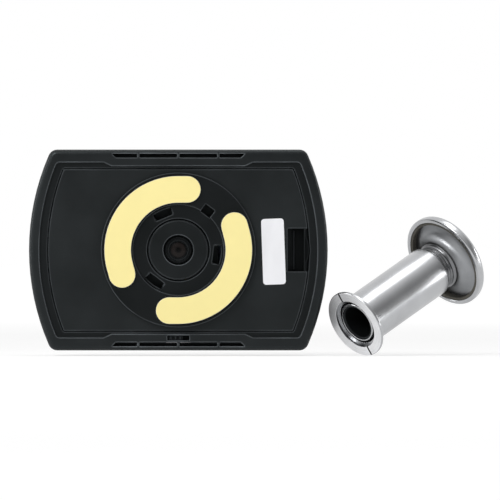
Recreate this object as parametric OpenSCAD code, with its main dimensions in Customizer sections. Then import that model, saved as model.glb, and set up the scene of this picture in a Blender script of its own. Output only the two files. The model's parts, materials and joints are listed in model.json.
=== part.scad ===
// Peephole door camera: an indoor screen unit with a twist-lock door plate,
// and the chromed viewer barrel that passes through the door.
// X runs to the right, Y from the door into the room, Z up.
// The origin is on the camera's axis, on the outer face of the door plate.

/* [Housing] */
// Width of the band beside the back cover
band_side = 7.2; // [6.4:0.1:9]
// Height of the band above and below the back cover
band_end = 7.35; // [6.9:0.05:9]
// Radius of the bowed sides in outline
side_radius = 89; // [80:1:120]
// Radius of the four corners in outline
corner_radius = 3.5; // [2.6:0.1:5]
// Rounding of the back rim
back_round = 1.8; // [0.6:0.1:2.1]
// Rounding of the screen face's edge
front_round = 3; // [1:0.1:3.4]
// Wall thickness of both shells
wall = 1.8; // [1.5:0.1:2]
// Depth of the back shell from its rim to the parting line
back_shell_d = 11; // [9.8:0.1:12.4]
// Thickness of the band round the back cover
band_thick = 2.2; // [1.9:0.1:2.4]
// Depth of the step in the band
band_step = 1.1; // [0.4:0.1:1.2]
// Width of the stepped ledge beside the cover
ledge_w = 3.3; // [2.6:0.1:3.8]
// Height of the stepped ledge above and below the cover
ledge_h = 2.5; // [2:0.1:2.8]

/* [Vents] */
// Length of a vent row
vent_row_l = 49.6; // [44:0.2:56]
// Height of a vent slot
vent_h = 1.4; // [1:0.1:1.6]
// Width of the bars between the slots
vent_bar = 0.9; // [0.6:0.1:1.4]
// Distance between the bars
vent_pitch = 15; // [13:0.1:17]
// Distance from the housing's edge to the middle of a vent row
vent_inset = 2.3; // [2:0.1:2.6]

/* [Back cover] */
// Width of the cover beyond the battery bay on each side
cover_side = 10.55; // [9.5:0.05:13]
// Height of the cover beyond the battery bay at each end
cover_end = 5.25; // [4.4:0.05:7]
// Thickness of the back cover
cover_thick = 1.8; // [1.6:0.1:2.1]
// Depth of the cover's outer face below the back rim
cover_sink = 1.35; // [1.2:0.05:1.6]
// Gap between the cover and the band
cover_gap = 0.35; // [0.3:0.05:0.45]
// Width of the finger notch
notch_w = 6.6; // [5.6:0.1:7]
// Height of the finger notch
notch_h = 16.1; // [14:0.1:20]
// Depth of the finger notch
notch_depth = 4.4; // [4.2:0.1:5]
// Travel of the latch
latch_travel = 1.2; // [0.8:0.1:1.4]
// Width of the sticker
label_w = 8.5; // [6:0.1:9.8]
// Height of the sticker
label_h = 24.7; // [18:0.1:30]
// Thickness of the sticker
label_thick = 0.12; // [0.08:0.01:0.14]

/* [Door plate] */
// Margin of the back cover outside the door plate
plate_margin = 1.3; // [1:0.1:2.4]
// Thickness of the door plate
plate_thick = 2.4; // [2.2:0.1:3]
// Gap between the door plate and the cover
plate_gap = 0.15; // [0.15:0.05:0.3]
// Radius of the socket that takes the viewer's collar
socket_r = 16.9; // [15.4:0.1:18.6]
// Depth of the socket
socket_depth = 1; // [0.8:0.1:1.4]
// Margin of the door plate outside a pad
pad_edge = 1.4; // [0.8:0.1:2]
// Thickness of an adhesive pad
pad_thick = 0.9; // [0.6:0.1:1.4]
// Thickness of the paper on a pad
liner_thick = 0.15; // [0.1:0.05:0.25]
// Length of a bayonet window
window_l = 7; // [5:0.1:8]
// Angle of the first bayonet window
window_angle = -7; // [-12:1:-2]
// Angle of the lock window
lock_angle = 53; // [48:1:58]

/* [Camera] */
// Radius of the lens tube
lens_r = 5.1; // [4.6:0.1:5.6]
// Wall of the lens tube round its front glass
lens_wall = 2; // [1.6:0.1:2.4]
// Gap round the lens tube in the boss
lens_gap = 0.5; // [0.3:0.05:0.7]
// Room round the lens holder in the boss
boss_room = 0.99; // [0.7:0.01:1.4]

/* [Batteries] */
// Diameter of a cell
cell_d = 10.5; // [9.4:0.1:11.6]
// Length of a cell without its stud
cell_l = 43.5; // [40:0.1:48]

/* [Screen] */
// Width of the visible picture
view_w = 57.6; // [50:0.1:64]
// Height of the visible picture
view_h = 43.2; // [38:0.1:46]
// Height of the picture's middle above the camera's axis
view_z = 4.5; // [4:0.1:5.5]
// Border of the window outside the visible picture
window_border = 3.2; // [2:0.1:3.6]
// Thickness of the window
window_thick = 0.9; // [0.7:0.1:1]
// Thickness of the display
lcd_thick = 3.4; // [3:0.1:3.8]

/* [Controls] */
// Width of the push button
button_w = 18; // [12:0.1:24]
// Height of the push button
button_h = 5.4; // [4.4:0.1:6]
// Height of the push button above the face
button_proud = 0.9; // [0.85:0.05:1.4]
// Travel of the push button
button_travel = 0.8; // [0.5:0.05:0.8]
// Width of the slide switch's window
switch_window_w = 8.2; // [7.4:0.1:9.2]
// Height of the slide switch's window
switch_window_h = 1.8; // [1.6:0.1:2]
// Travel of the slide switch
switch_travel = 2; // [1:0.1:2.2]

/* [Viewer barrel] */
// Radius of the barrel's bore
bore_r = 7.15; // [6.4:0.05:8]
// Wall of the threaded tube
tube_wall = 1.45; // [1.3:0.05:1.8]
// Wall of the sleeve
sleeve_wall = 1.1; // [0.9:0.05:1.6]
// Length of the sleeve from its collar's face to its end
sleeve_l = 42.5; // [34:0.1:48]
// Gap between the sleeve's end and the flange's rim
sleeve_gap = 7.8; // [6.8:0.1:12]
// Width of the collar outside the sleeve
collar_w = 3.55; // [3:0.05:5]
// Thickness of the collar
collar_thick = 1.2; // [1:0.1:2]
// Width of the driver slots across the collar
collar_slot_w = 0.8; // [0.5:0.1:1.6]
// Depth of the driver slots
collar_slot_d = 0.8; // [0.4:0.1:0.9]
// Width of the flange outside its hub
flange_w = 9; // [7.6:0.1:12]
// Thickness of the flange at its rim
flange_thick = 3.8; // [3.4:0.1:5]
// Height of the dome on the flange
flange_dome = 2; // [1.4:0.1:2.6]
// Depth of the flange's recess
recess_depth = 2.2; // [1.8:0.1:2.6]
// Pitch of the barrel's thread
thread_pitch = 1.25; // [0.8:0.05:1.5]
// Depth of the barrel's thread
thread_depth = 0.5; // [0.2:0.05:0.6]
// Distance from the housing's side to the middle of the collar
barrel_gap = 10.15; // [9.2:0.05:40]
// Upward place of the barrel's collar
barrel_z = -27.85; // [-60:0.05:-20]
// Heading of the barrel, from right to away
barrel_heading = 41.2; // [20:0.1:60]
// Rise of the barrel
barrel_rise = 27.6; // [10:0.1:45]
// Turn of the sleeve's driver slots
collar_slot_angle = -12; // [-90:1:90]

/* [Hidden] */
$fn = 96;

// Clearances
seat_gap = 0.15;
run_gap = 0.05;
slide_gap = 0.2;
cut = 1;

// Levels along Y, from the door plate to the battery bay
cover_y = plate_thick + plate_gap;
cover_in_y = cover_y + cover_thick;
rim_y = cover_y - cover_sink;
band_in_y = rim_y + band_thick;
split_y = rim_y + back_shell_d;
deck_thick = 1.5;
deck_y = split_y - deck_thick;
bay_top_y = cover_in_y + seat_gap;
cell_y = bay_top_y + slide_gap + cell_d / 2;
bay_floor_y = cell_y + cell_d / 2 + slide_gap;
bay_floor_thick = 0.8;
bay_back_y = bay_floor_y + bay_floor_thick;
boss_face_y = socket_depth + 0.1;

// Levels along Y, from the battery bay to the screen face
board_room = 1.4;
board_back_y = bay_back_y + board_room;
board_thick = 1.2;
lcd_back_y = board_back_y + board_thick;
lcd_front_y = lcd_back_y + lcd_thick;
gasket_thick = 0.4;
front_in_y = lcd_front_y + gasket_thick;
front_y = front_in_y + wall;

// Camera
boss_wall = 1.4;
boss_chamfer = 0.35;
camera_board_thick = 1;
sensor_thick = 1;
sensor_w = 6;
holder_wall = 1.1;
holder_r = lens_r + run_gap + holder_wall;
holder_w = 2 * holder_r + 0.1;
boss_r = holder_w * sqrt(0.5) + boss_room + boss_wall;
lens_hole_r = lens_r + lens_gap;
glass_r = lens_r - lens_wall;
lens_face_y = boss_face_y + 1;
lens_back_y = bay_floor_y - camera_board_thick - sensor_thick - 0.8;
glass_face_y = lens_face_y + 1;
glass_thick = 1;
glass_bulge = 0.35;
connector_w = 8;
connector_h = 2.4;
connector_z = -6;

// Battery bay
boss_gap = 0.45;
hub_wall = 1.05;
hub_in_r = boss_r + boss_gap;
hub_r = hub_in_r + hub_wall;
cell_spacing = cell_d + 0.5;
cell_inner_x = hub_r + 2.15 + cell_d / 2;
cell_outer_x = cell_inner_x + cell_spacing;
bay_wall = 1.2;
bay_w = 2 * (cell_outer_x + cell_d / 2 + 0.6);
contact_thick = 0.4;
contact_room = 2.6;
stud_l = 0.9;
stud_r = 1.9;
bay_h = cell_l + stud_l + contact_thick + contact_room + 2 * seat_gap;

// Outlines of the cover and the housing
cover_w = bay_w + 2 * (bay_wall + cover_side);
cover_h = bay_h + 2 * (bay_wall + cover_end);
cover_side_r = side_radius - band_side;
housing_w = cover_w + 2 * band_side;
housing_h = cover_h + 2 * band_end;

// Display, board and housing screws
lcd_w = view_w + 11.6;
lcd_h = view_h + 6.8;
screw_r = 1;
screw_head_r = 2;
screw_head_h = 1.3;
screw_boss_r = 2.7;
screw_post_r = screw_boss_r - 0.4;
screw_bite = 7;
screw_x = max(bay_w / 2 + bay_wall, lcd_w / 2 + slide_gap) + screw_boss_r - 0.3;
screw_z = bay_h / 2 - 1.85;
screw_seat_y = deck_y - 2;
board_w = 2 * (screw_x - screw_boss_r - 0.95);
board_h = housing_h - 2 * (wall + 2.85);
board_post_inset = 3;
board_post_r = 1.6;
chip_thick = 0.7;

// Hinge of the back cover: hooks round an axis above the cover's left edge
hinge_lift = 0.15;
hinge_x = -cover_w / 2 - hinge_lift;
hinge_y = cover_y - hinge_lift;
hook_out_r = cover_thick + hinge_lift;
hook_in_r = hook_out_r - 0.6;
hook_reach = 0.75;
hook_w = 6;
hook_z = 8;

// Finger notch and latch
notch_right = cover_w / 2 - 1.2;
notch_left = notch_right - notch_w;
notch_wall = 1.4;
notch_floor_y = cover_y + notch_depth;
latch_wall = 0.9;
ridge_w = 0.6;
ridge_h = 0.7;
latch_floor = 0.8;
latch_nose_r = 12;
latch_nose_l = 1;
latch_z = notch_h / 2 - slide_gap;
latch_rail = 0.6;
notch_back_y = notch_floor_y + slide_gap + 0.8;
latch_right = notch_right + 0.4;

// Door plate
plate_r = cover_h / 2 - plate_margin;
pad_margin = 0.9;
pad_w = plate_r - pad_edge - socket_r - pad_margin;
pad_ring_r = socket_r + pad_margin + pad_w / 2;
pad_angle = 90;
pad_sweep_angle = 105;
pad_tail = 3.4;
window_ring_r = (hub_r + socket_r) / 2;
window_wide = socket_r - hub_r - 0.7;
lock_ring_r = socket_r + 1.4;
lock_l = 4.3;
lock_w = 3.3;
lug_r = hub_r + 3;
lug_thick = 1;
lug_span_angle = 22;
lug_angle = 25;
plate_twist_angle = 25;
lug_y = cover_in_y + seat_gap;
lug_end_y = lug_y + lug_thick;

// Controls
button_z = -housing_h / 2 + 9.4;
button_flange = 1.2;
button_flange_thick = 1;
button_corner = 1.6;
button_back_y = front_in_y - slide_gap - button_flange_thick;
switch_z = -(cover_h / 2 + cover_gap + 1.4 + switch_window_h / 2);
switch_body_d = 3;
switch_body_h = 3.6;
switch_knob_w = switch_window_w - switch_travel - 1;
switch_foot_thick = 0.6;
switch_body_y = band_in_y + seat_gap + switch_foot_thick + seat_gap;
rib_w = 0.5;

// Viewer barrel
thread_r = bore_r + tube_wall;
sleeve_bore_r = thread_r + run_gap;
sleeve_r = sleeve_bore_r + sleeve_wall;
sleeve_seat_r = sleeve_r - 0.25;
sleeve_seat_d = 1.6;
collar_r = sleeve_r + collar_w;
collar_fillet = 2.2;
edge_break = 0.35;
tube_end_z = 1.2;
tube_plain_l = 5;
tube_plain_r = thread_r - 0.85;
flange_z = sleeve_l + sleeve_gap;
thread_end_z = flange_z - 2.9;
hub_flare_r = thread_r + 0.6;
flange_r = hub_flare_r + flange_w;
recess_r = flange_r - 1.7;
gasket_w = 1.1;
gasket_in_r = recess_r - gasket_w;
gasket_d = recess_depth - 0.3;
flange_front_z = flange_z + flange_thick + flange_dome;
lens_seat_r = bore_r + 1;
lens_seat_z = flange_front_z - 5;
objective_thick = 3;
ring_wall = 1;
baffle_wall = 0.65;
baffle_in_r = bore_r - run_gap - baffle_wall;
barrel_lens_r = baffle_in_r - run_gap;
barrel_x = housing_w / 2 + barrel_gap;

// Turns a flat outline into a slab between two levels of Y
module slab(y0, y1) {
    translate([0, y1, 0])
        rotate([90, 0, 0])
            linear_extrude(height = y1 - y0)
                children();
}

// Round bar along Y
module bar(y0, y1, r) {
    translate([0, y0, 0])
        rotate([-90, 0, 0])
            cylinder(h = y1 - y0, r = r);
}

// Solid of revolution about the Y axis, from points of radius and Y
module turned(points) {
    rotate([-90, 0, 0])
        rotate_extrude()
            polygon(points);
}

// Points on an arc
function arc(cx, cy, r, from, to, steps) =
    [for (i = [0 : steps]) let (a = from + (to - from) * i / steps) [cx + r * cos(a), cy + r * sin(a)]];

// Outline with a flat top and bottom, bowed sides and round corners
side_steps = 16;
corner_steps = 5;
function bowed_half(w, h, side_r, corner_r) =
    let (
        middle = w / 2 - side_r,
        corner_y = h / 2 - corner_r,
        reach = side_r - corner_r,
        corner_x = middle + sqrt(reach * reach - corner_y * corner_y),
        end = asin(corner_y / reach)
    )
    concat(
        [for (i = [0 : corner_steps - 1])
            let (a = -90 + (90 - end) * i / corner_steps)
            [corner_x + corner_r * cos(a), -corner_y + corner_r * sin(a)]],
        arc(middle, 0, side_r, -end, end, side_steps),
        [for (i = [1 : corner_steps])
            let (a = end + (90 - end) * i / corner_steps)
            [corner_x + corner_r * cos(a), corner_y + corner_r * sin(a)]]
    );
function bowed(w, h, side_r, corner_r) =
    let (half = bowed_half(w, h, side_r, corner_r))
    concat(half, [for (p = half) -p]);
function housing_outline(inset) =
    bowed(housing_w - 2 * inset, housing_h - 2 * inset, side_radius - inset, max(corner_radius - inset, 0.4));

// Outline of the cover grown by a margin
function cover_outline(margin) =
    bowed(cover_w + 2 * margin, cover_h + 2 * margin, cover_side_r + margin, 0.6 + margin);

// Rectangle with round corners
function rounded(w, h, r) =
    concat(
        arc(w / 2 - r, h / 2 - r, r, 0, 90, 6),
        arc(r - w / 2, h / 2 - r, r, 90, 180, 6),
        arc(r - w / 2, r - h / 2, r, 180, 270, 6),
        arc(w / 2 - r, r - h / 2, r, 270, 360, 6)
    );

// Solid through rings of Y and inset of the housing's outline
module housing_loft(levels) {
    rings = [for (level = levels) housing_outline(level[1])];
    count = len(rings[0]);
    last = len(levels) - 1;
    points = [for (j = [0 : last]) for (p = rings[j]) [p[0], levels[j][0], p[1]]];
    sides = [for (j = [0 : last - 1]) for (i = [0 : count - 1])
        let (a = j * count + i, b = j * count + (i + 1) % count)
        each [[a, b, b + count], [a, b + count, a + count]]];
    back = [for (i = [0 : count - 1]) count - 1 - i];
    front = [for (i = [0 : count - 1]) last * count + i];
    polyhedron(points, concat([back, front], sides), convexity = 4);
}

round_steps = 5;
function back_levels() =
    concat(
        [for (i = [0 : round_steps])
            let (a = 90 * i / round_steps)
            [rim_y + back_round * (1 - cos(a)), back_round * (1 - sin(a))]],
        [[split_y, 0]]
    );
function front_levels() =
    concat(
        [[split_y, 0]],
        [for (i = [0 : round_steps])
            let (a = 90 * i / round_steps)
            [front_y - front_round * (1 - sin(a)), front_round * (1 - cos(a))]]
    );

// Raised tongue of the band above the cover, slanted down to it at its ends
tongue_half = vent_row_l / 2 + 0.2;
tongue_slant = 3;
tongue_gap = 1.1;
module band_tongue() {
    low = cover_h / 2 + tongue_gap;
    middle = cover_h / 2 + ledge_h;
    high = housing_h / 2;
    wide = tongue_half + tongue_slant;
    polygon([
        [-tongue_half, low],
        [tongue_half, low],
        [wide, middle],
        [wide, high],
        [-wide, high],
        [-wide, middle]
    ]);
}

// One row of vent slots
module vent_row() {
    mid = housing_h / 2 - vent_inset;
    half = vent_row_l / 2;
    difference() {
        polygon([
            [-half, mid + vent_h / 2],
            [half, mid + vent_h / 2],
            [half - vent_h, mid - vent_h / 2],
            [vent_h - half, mid - vent_h / 2]
        ]);
        for (i = [-1 : 1])
            translate([i * vent_pitch, mid])
                square([vent_bar, 2 * vent_h], center = true);
    }
}

module both_ends() {
    children();
    mirror([0, 1])
        children();
}

module four_corners(x, z) {
    for (sx = [-1, 1], sz = [-1, 1])
        translate([sx * x, 0, sz * z])
            children();
}

// Outline of the latch's nose beyond the cover's right edge
module latch_nose(margin) {
    intersection() {
        translate([latch_right + latch_nose_l - latch_nose_r, 0])
            circle(r = latch_nose_r + margin);
        translate([latch_right - latch_wall / 2, -notch_h / 2])
            square([3 * latch_nose_r, notch_h]);
    }
}

module bay_block() {
    slab(bay_top_y, bay_back_y)
        square([bay_w + 2 * bay_wall, bay_h + 2 * bay_wall], center = true);
}

module switch_pedestal() {
    translate([-switch_window_w / 2 - 1, switch_body_y + switch_body_d, switch_z - switch_body_h / 2])
        cube([switch_window_w + 2, deck_y - switch_body_y - switch_body_d + cut / 2, switch_body_h]);
}

module rear_shell() color([0.11, 0.11, 0.12])
    difference() {
        union() {
            difference() {
                housing_loft(back_levels());
                slab(band_in_y, deck_y)
                    polygon(housing_outline(wall));
            }
            bay_block();
            switch_pedestal();
            four_corners(screw_x, screw_z)
                bar(screw_seat_y - screw_head_h - 0.6, deck_y + cut / 2, screw_boss_r);
            four_corners(board_w / 2 - board_post_inset, board_h / 2 - board_post_inset)
                bar(deck_y + cut / 2, board_back_y, board_post_r);
        }
        // Opening for the cover, with the latch's pocket
        slab(rim_y - cut, band_in_y + cut / 2)
            polygon(cover_outline(cover_gap));
        slab(rim_y - cut, band_in_y + cut / 2)
            latch_nose(cover_gap);
        // Step in the band, interrupted by the two tongues
        slab(rim_y - cut, rim_y + band_step)
            difference() {
                polygon(bowed(cover_w + 2 * ledge_w, cover_h + 2 * ledge_h, cover_side_r + ledge_w, 1.6));
                both_ends()
                    band_tongue();
            }
        // Battery bay
        slab(bay_top_y - cut, bay_floor_y)
            square([bay_w, bay_h], center = true);
        // Passage for the camera's connector
        translate([0, 0, connector_z])
            slab(bay_floor_y - cut, bay_back_y + cut)
                square([connector_w + 2 * slide_gap, connector_h + 2 * slide_gap], center = true);
        slab(rim_y - cut, band_in_y + cut / 2)
            both_ends()
                vent_row();
        slab(rim_y - cut, band_in_y + cut / 2)
            translate([0, switch_z])
                square([switch_window_w, switch_window_h], center = true);
        // Screw holes with counterbores
        four_corners(screw_x, screw_z) {
            bar(screw_seat_y - screw_head_h - cut, split_y + cut, screw_r + slide_gap);
            bar(screw_seat_y - screw_head_h - cut, screw_seat_y, screw_head_r + slide_gap);
        }
    }

module front_shell() color([0.1, 0.1, 0.11])
    difference() {
        union() {
            difference() {
                housing_loft(front_levels());
                slab(split_y - cut, front_in_y)
                    polygon(housing_outline(wall));
            }
            four_corners(screw_x, screw_z)
                bar(split_y, front_in_y + wall / 2, screw_post_r);
        }
        // Window seat and picture opening
        translate([0, 0, view_z]) {
            slab(front_y - window_thick, front_y + cut)
                polygon(rounded(view_w + 2 * window_border, view_h + 2 * window_border, 1.5));
            slab(front_in_y - cut, front_y)
                square([view_w, view_h], center = true);
        }
        translate([0, 0, button_z])
            slab(front_in_y - cut, front_y + cut)
                polygon(rounded(
                    button_w + 2 * slide_gap,
                    button_h + 2 * slide_gap,
                    button_corner + slide_gap
                ));
        four_corners(screw_x, screw_z)
            bar(split_y - cut, split_y + screw_bite + 0.5, screw_r + run_gap);
    }

module screen_window() color([0.02, 0.02, 0.03])
    translate([0, 0, view_z])
        slab(front_y - window_thick, front_y)
            polygon(rounded(
                view_w + 2 * (window_border - seat_gap),
                view_h + 2 * (window_border - seat_gap),
                1.5 - seat_gap
            ));

module screen_gasket() color([0.15, 0.15, 0.15])
    translate([0, 0, view_z])
        slab(lcd_front_y, front_in_y)
            difference() {
                square([lcd_w - 2, lcd_h - 2], center = true);
                square([view_w + 1, view_h + 1], center = true);
            }

module lcd_panel() color([0.25, 0.27, 0.32])
    translate([0, 0, view_z])
        slab(lcd_back_y, lcd_front_y)
            square([lcd_w, lcd_h], center = true);

module main_board() color([0.08, 0.32, 0.16])
    slab(board_back_y, lcd_back_y)
        square([board_w, board_h], center = true);

// Each chip is its place and its size on the board
chips = [[-20, 12, 11, 11], [-20, -8, 8, 10], [16, 14, 9, 6], [20, -10, 5, 5]];
module chip(i) color([0.05, 0.05, 0.06])
    translate([chips[i - 1][0], 0, chips[i - 1][1]])
        slab(board_back_y - chip_thick, board_back_y)
            square([chips[i - 1][2], chips[i - 1][3]], center = true);

module tact_switch() color([0.3, 0.3, 0.32])
    translate([0, 0, button_z]) {
        slab(lcd_back_y, lcd_back_y + 1)
            square([5, 5], center = true);
        bar(lcd_back_y + 1, button_back_y - button_travel - run_gap, 1.2);
    }

module switch_body() color([0.65, 0.66, 0.68])
    translate([-switch_window_w / 2 - 0.4, switch_body_y, switch_z - switch_body_h / 2])
        cube([switch_window_w + 0.8, switch_body_d, switch_body_h]);

module board_connector() color([0.9, 0.88, 0.8])
    translate([0, 0, connector_z])
        slab(bay_floor_y, board_back_y)
            square([connector_w, connector_h], center = true);

module camera_housing() color([0.12, 0.12, 0.13])
    turned([
        [lens_hole_r, boss_face_y],
        [boss_r - boss_chamfer, boss_face_y],
        [boss_r, boss_face_y + boss_chamfer],
        [boss_r, bay_floor_y],
        [boss_r - boss_wall, bay_floor_y],
        [boss_r - boss_wall, boss_face_y + boss_wall],
        [lens_hole_r, boss_face_y + boss_wall]
    ]);

module camera_board() color([0.08, 0.32, 0.16])
    bar(bay_floor_y - camera_board_thick, bay_floor_y, boss_r - boss_wall - slide_gap);

module image_sensor() color([0.2, 0.2, 0.24])
    slab(bay_floor_y - camera_board_thick - sensor_thick, bay_floor_y - camera_board_thick)
        square([sensor_w, sensor_w], center = true);

module lens_holder() color([0.07, 0.07, 0.08])
    difference() {
        union() {
            slab(lens_back_y, bay_floor_y - camera_board_thick)
                square([holder_w, holder_w], center = true);
            bar(lens_face_y + 3, lens_back_y, holder_r);
        }
        bar(lens_face_y, bay_floor_y, lens_r + run_gap);
        slab(lens_back_y + 0.4, bay_floor_y)
            square([holder_w - 2 * holder_wall, holder_w - 2 * holder_wall], center = true);
    }

module lens_barrel() color([0.05, 0.05, 0.06])
    turned([
        [glass_r - 0.3, glass_face_y + glass_thick],
        [glass_r + run_gap, glass_face_y + glass_thick],
        [glass_r + run_gap, glass_face_y - 0.3],
        [lens_r - 0.5, lens_face_y],
        [lens_r, lens_face_y],
        [lens_r, lens_back_y],
        [glass_r - 0.3, lens_back_y]
    ]);

module lens_front() color([0.35, 0.25, 0.4, 0.6])
    turned(concat(
        [[0, glass_face_y + glass_thick], [0, glass_face_y - glass_bulge]],
        [for (i = [1 : 6])
            let (x = glass_r * i / 6)
            [x, glass_face_y - glass_bulge * (1 - pow(i / 6, 2))]],
        [[glass_r, glass_face_y + glass_thick]]
    ));

module lens_rear() color([0.4, 0.35, 0.5, 0.6])
    bar(lens_back_y - 1.2, lens_back_y, glass_r - 0.35);

// Puts a piece at one of the four cells, turned over for every other one
cell_row = [-cell_outer_x, -cell_inner_x, cell_inner_x, cell_outer_x];
module at_cell(i) {
    mirror([0, 0, 1 - i % 2])
        translate([cell_row[i - 1], cell_y, 0])
            children();
}

module battery_cell(i)
    at_cell(i)
        translate([0, 0, bay_h / 2 - contact_thick - stud_l - cell_l]) {
            color([0.55, 0.57, 0.6])
                cylinder(h = cell_l, r = cell_d / 2);
            color([0.8, 0.78, 0.7])
                translate([0, 0, cell_l])
                    cylinder(h = stud_l, r = stud_r);
        }

contact_w = 7;
contact_h = 8;
module flat_contact(i) color([0.78, 0.78, 0.8])
    at_cell(i)
        translate([-contact_w / 2, -contact_h / 2, bay_h / 2 - contact_thick])
            cube([contact_w, contact_h, contact_thick]);

// A flat foot on the bay's end wall and a bowed leaf that reaches the cell
module contact_leaf() {
    reach = contact_room + seat_gap;
    linear_extrude(height = contact_w - 2)
        difference() {
            union() {
                square([contact_h, contact_thick]);
                translate([contact_h / 2, 0])
                    circle(r = reach);
            }
            translate([contact_h / 2, 0])
                circle(r = reach - contact_thick);
            translate([0, -2 * reach])
                square([contact_h, 2 * reach]);
        }
}

module sprung_contact(i) color([0.78, 0.78, 0.8])
    at_cell(i)
        translate([1 - contact_w / 2, -contact_h / 2, -bay_h / 2])
            rotate([90, 0, 90])
                contact_leaf();

module housing_screws() color([0.7, 0.7, 0.72])
    four_corners(screw_x, screw_z)
        difference() {
            union() {
                bar(screw_seat_y - screw_head_h, screw_seat_y, screw_head_r);
                bar(screw_seat_y, split_y + screw_bite, screw_r);
            }
            for (turn = [0, 90])
                rotate([0, turn, 0])
                    translate([0, screw_seat_y - screw_head_h, 0])
                        cube([2.4, 1.2, 0.5], center = true);
        }

// Round hook that turns under the band's left edge
module hinge_hook(z) {
    translate([hinge_x, hinge_y, z - hook_w / 2])
        intersection() {
            difference() {
                cylinder(h = hook_w, r = hook_out_r);
                translate([0, 0, -cut])
                    cylinder(h = hook_w + 2 * cut, r = hook_in_r);
            }
            translate([-hook_reach, hinge_lift, 0])
                cube([hook_reach + hook_out_r, hook_out_r, hook_w]);
        }
}

module back_cover() color([0.13, 0.13, 0.14])
    difference() {
        union() {
            slab(cover_y, cover_in_y)
                polygon(cover_outline(0));
            hinge_hook(hook_z);
            hinge_hook(-hook_z);
            // Walls of the finger notch
            slab(cover_in_y - cut / 2, notch_back_y)
                translate([notch_left - notch_wall, -notch_h / 2 - notch_wall])
                    square([notch_right - notch_left + notch_wall, notch_h + 2 * notch_wall]);
        }
        slab(cover_y - cut, notch_back_y + cut)
            translate([notch_left, -notch_h / 2])
                square([cover_w, notch_h]);
        // Grooves for the latch's rails
        slab(notch_floor_y - latch_floor - slide_gap, notch_floor_y + slide_gap)
            translate([notch_left, -latch_z - latch_rail - slide_gap])
                square([cover_w, 2 * (latch_z + latch_rail + slide_gap)]);
        // Opening behind the door plate's lock window
        lock_block(cover_y - cut, cover_in_y + cut);
        // Bore for the door plate's hub, with the entries of its lugs
        bar(cover_y - cut, cover_in_y + cut, hub_r + run_gap);
        for (i = [0 : 2])
            lug_sector(
                i, cover_y - cut, cover_in_y + cut,
                lug_r + slide_gap, lug_angle - plate_twist_angle, 2
            );
    }

// Ring sector of a lug, grown by a few degrees at each end
module lug_sector(i, y0, y1, r, turn, grow) {
    a0 = window_angle + 120 * i + turn - lug_span_angle / 2 - grow;
    a1 = a0 + lug_span_angle + 2 * grow;
    inner = hub_r - hub_wall / 2;
    slab(y0, y1)
        polygon(concat(
            arc(0, 0, r, a0, a1, 8),
            arc(0, 0, inner, a1, a0, 8)
        ));
}

module label_sticker() color([0.93, 0.93, 0.94])
    translate([notch_left - 1.1 - label_w / 2, 0, -0.6])
        slab(cover_y - label_thick, cover_y)
            polygon(rounded(label_w, label_h, 1.2));

module cover_latch() color([0.09, 0.09, 0.1]) {
    latch_left = notch_left + latch_travel + slide_gap;
    // Floor of the notch, with rails in the cover's grooves, and its grip ridge
    slab(notch_floor_y - latch_floor, notch_floor_y)
        translate([latch_left, -latch_z - latch_rail])
            square([notch_right - latch_left, 2 * (latch_z + latch_rail)]);
    slab(notch_floor_y - latch_floor - ridge_h, notch_floor_y - latch_floor / 2)
        translate([latch_left + ridge_w, ridge_w - latch_z])
            square([ridge_w, 2 * (latch_z - ridge_w)]);
    // Upright wall with the nose
    slab(cover_y + 0.1, notch_floor_y) {
        translate([latch_right - latch_wall, -latch_z])
            square([latch_wall, 2 * latch_z]);
        latch_nose(0);
    }
}

// Kidney-shaped pad: an arc with straight tails and round ends
function pad_outline(w, tail) =
    let (
        start = pad_angle,
        stop = pad_angle + pad_sweep_angle,
        first = [pad_ring_r * cos(start) + tail * sin(start), pad_ring_r * sin(start) - tail * cos(start)],
        last = [pad_ring_r * cos(stop) - tail * sin(stop), pad_ring_r * sin(stop) + tail * cos(stop)]
    )
    concat(
        arc(first[0], first[1], w / 2, start - 180, start, 14),
        arc(0, 0, pad_ring_r + w / 2, start, stop, 28),
        arc(last[0], last[1], w / 2, stop, stop + 180, 14),
        arc(0, 0, pad_ring_r - w / 2, stop, start, 28)
    );

// Block of the lock window between two levels of Y
module lock_block(y0, y1) {
    rotate([0, -lock_angle, 0])
        translate([lock_ring_r, 0, 0])
            slab(y0, y1)
                square([lock_w, lock_l], center = true);
}

module mount_plate() color([0.13, 0.13, 0.14])
    difference() {
        union() {
            bar(0, plate_thick, plate_r);
            bar(plate_thick - cut / 2, lug_end_y, hub_r);
            for (i = [0 : 2])
                lug_sector(i, lug_y, lug_end_y, lug_r, lug_angle, 0);
        }
        bar(-cut, socket_depth, socket_r);
        bar(-cut, cover_in_y + 3 * cut, hub_in_r);
        for (i = [0 : 2])
            rotate([0, -window_angle - 120 * i, 0])
                translate([window_ring_r - window_wide / 2, -cut, -window_l / 2])
                    cube([window_wide, plate_thick + 2 * cut, window_l]);
        lock_block(-cut, plate_thick + cut);
    }

module pad(turn) color([0.92, 0.92, 0.9])
    rotate([0, turn, 0])
        slab(-pad_thick, 0)
            polygon(pad_outline(pad_w, pad_tail));

module liner(turn) color([1, 0.94, 0.65])
    rotate([0, turn, 0])
        slab(-pad_thick - liner_thick, -pad_thick)
            polygon(pad_outline(pad_w, pad_tail));

module view_button() color([0.16, 0.16, 0.18])
    translate([0, 0, button_z]) {
        slab(button_back_y, front_y + button_proud)
            polygon(rounded(button_w, button_h, button_corner));
        slab(button_back_y, front_in_y - slide_gap)
            polygon(rounded(button_w + 2 * button_flange, button_h + 2 * button_flange, button_corner));
    }

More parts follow.
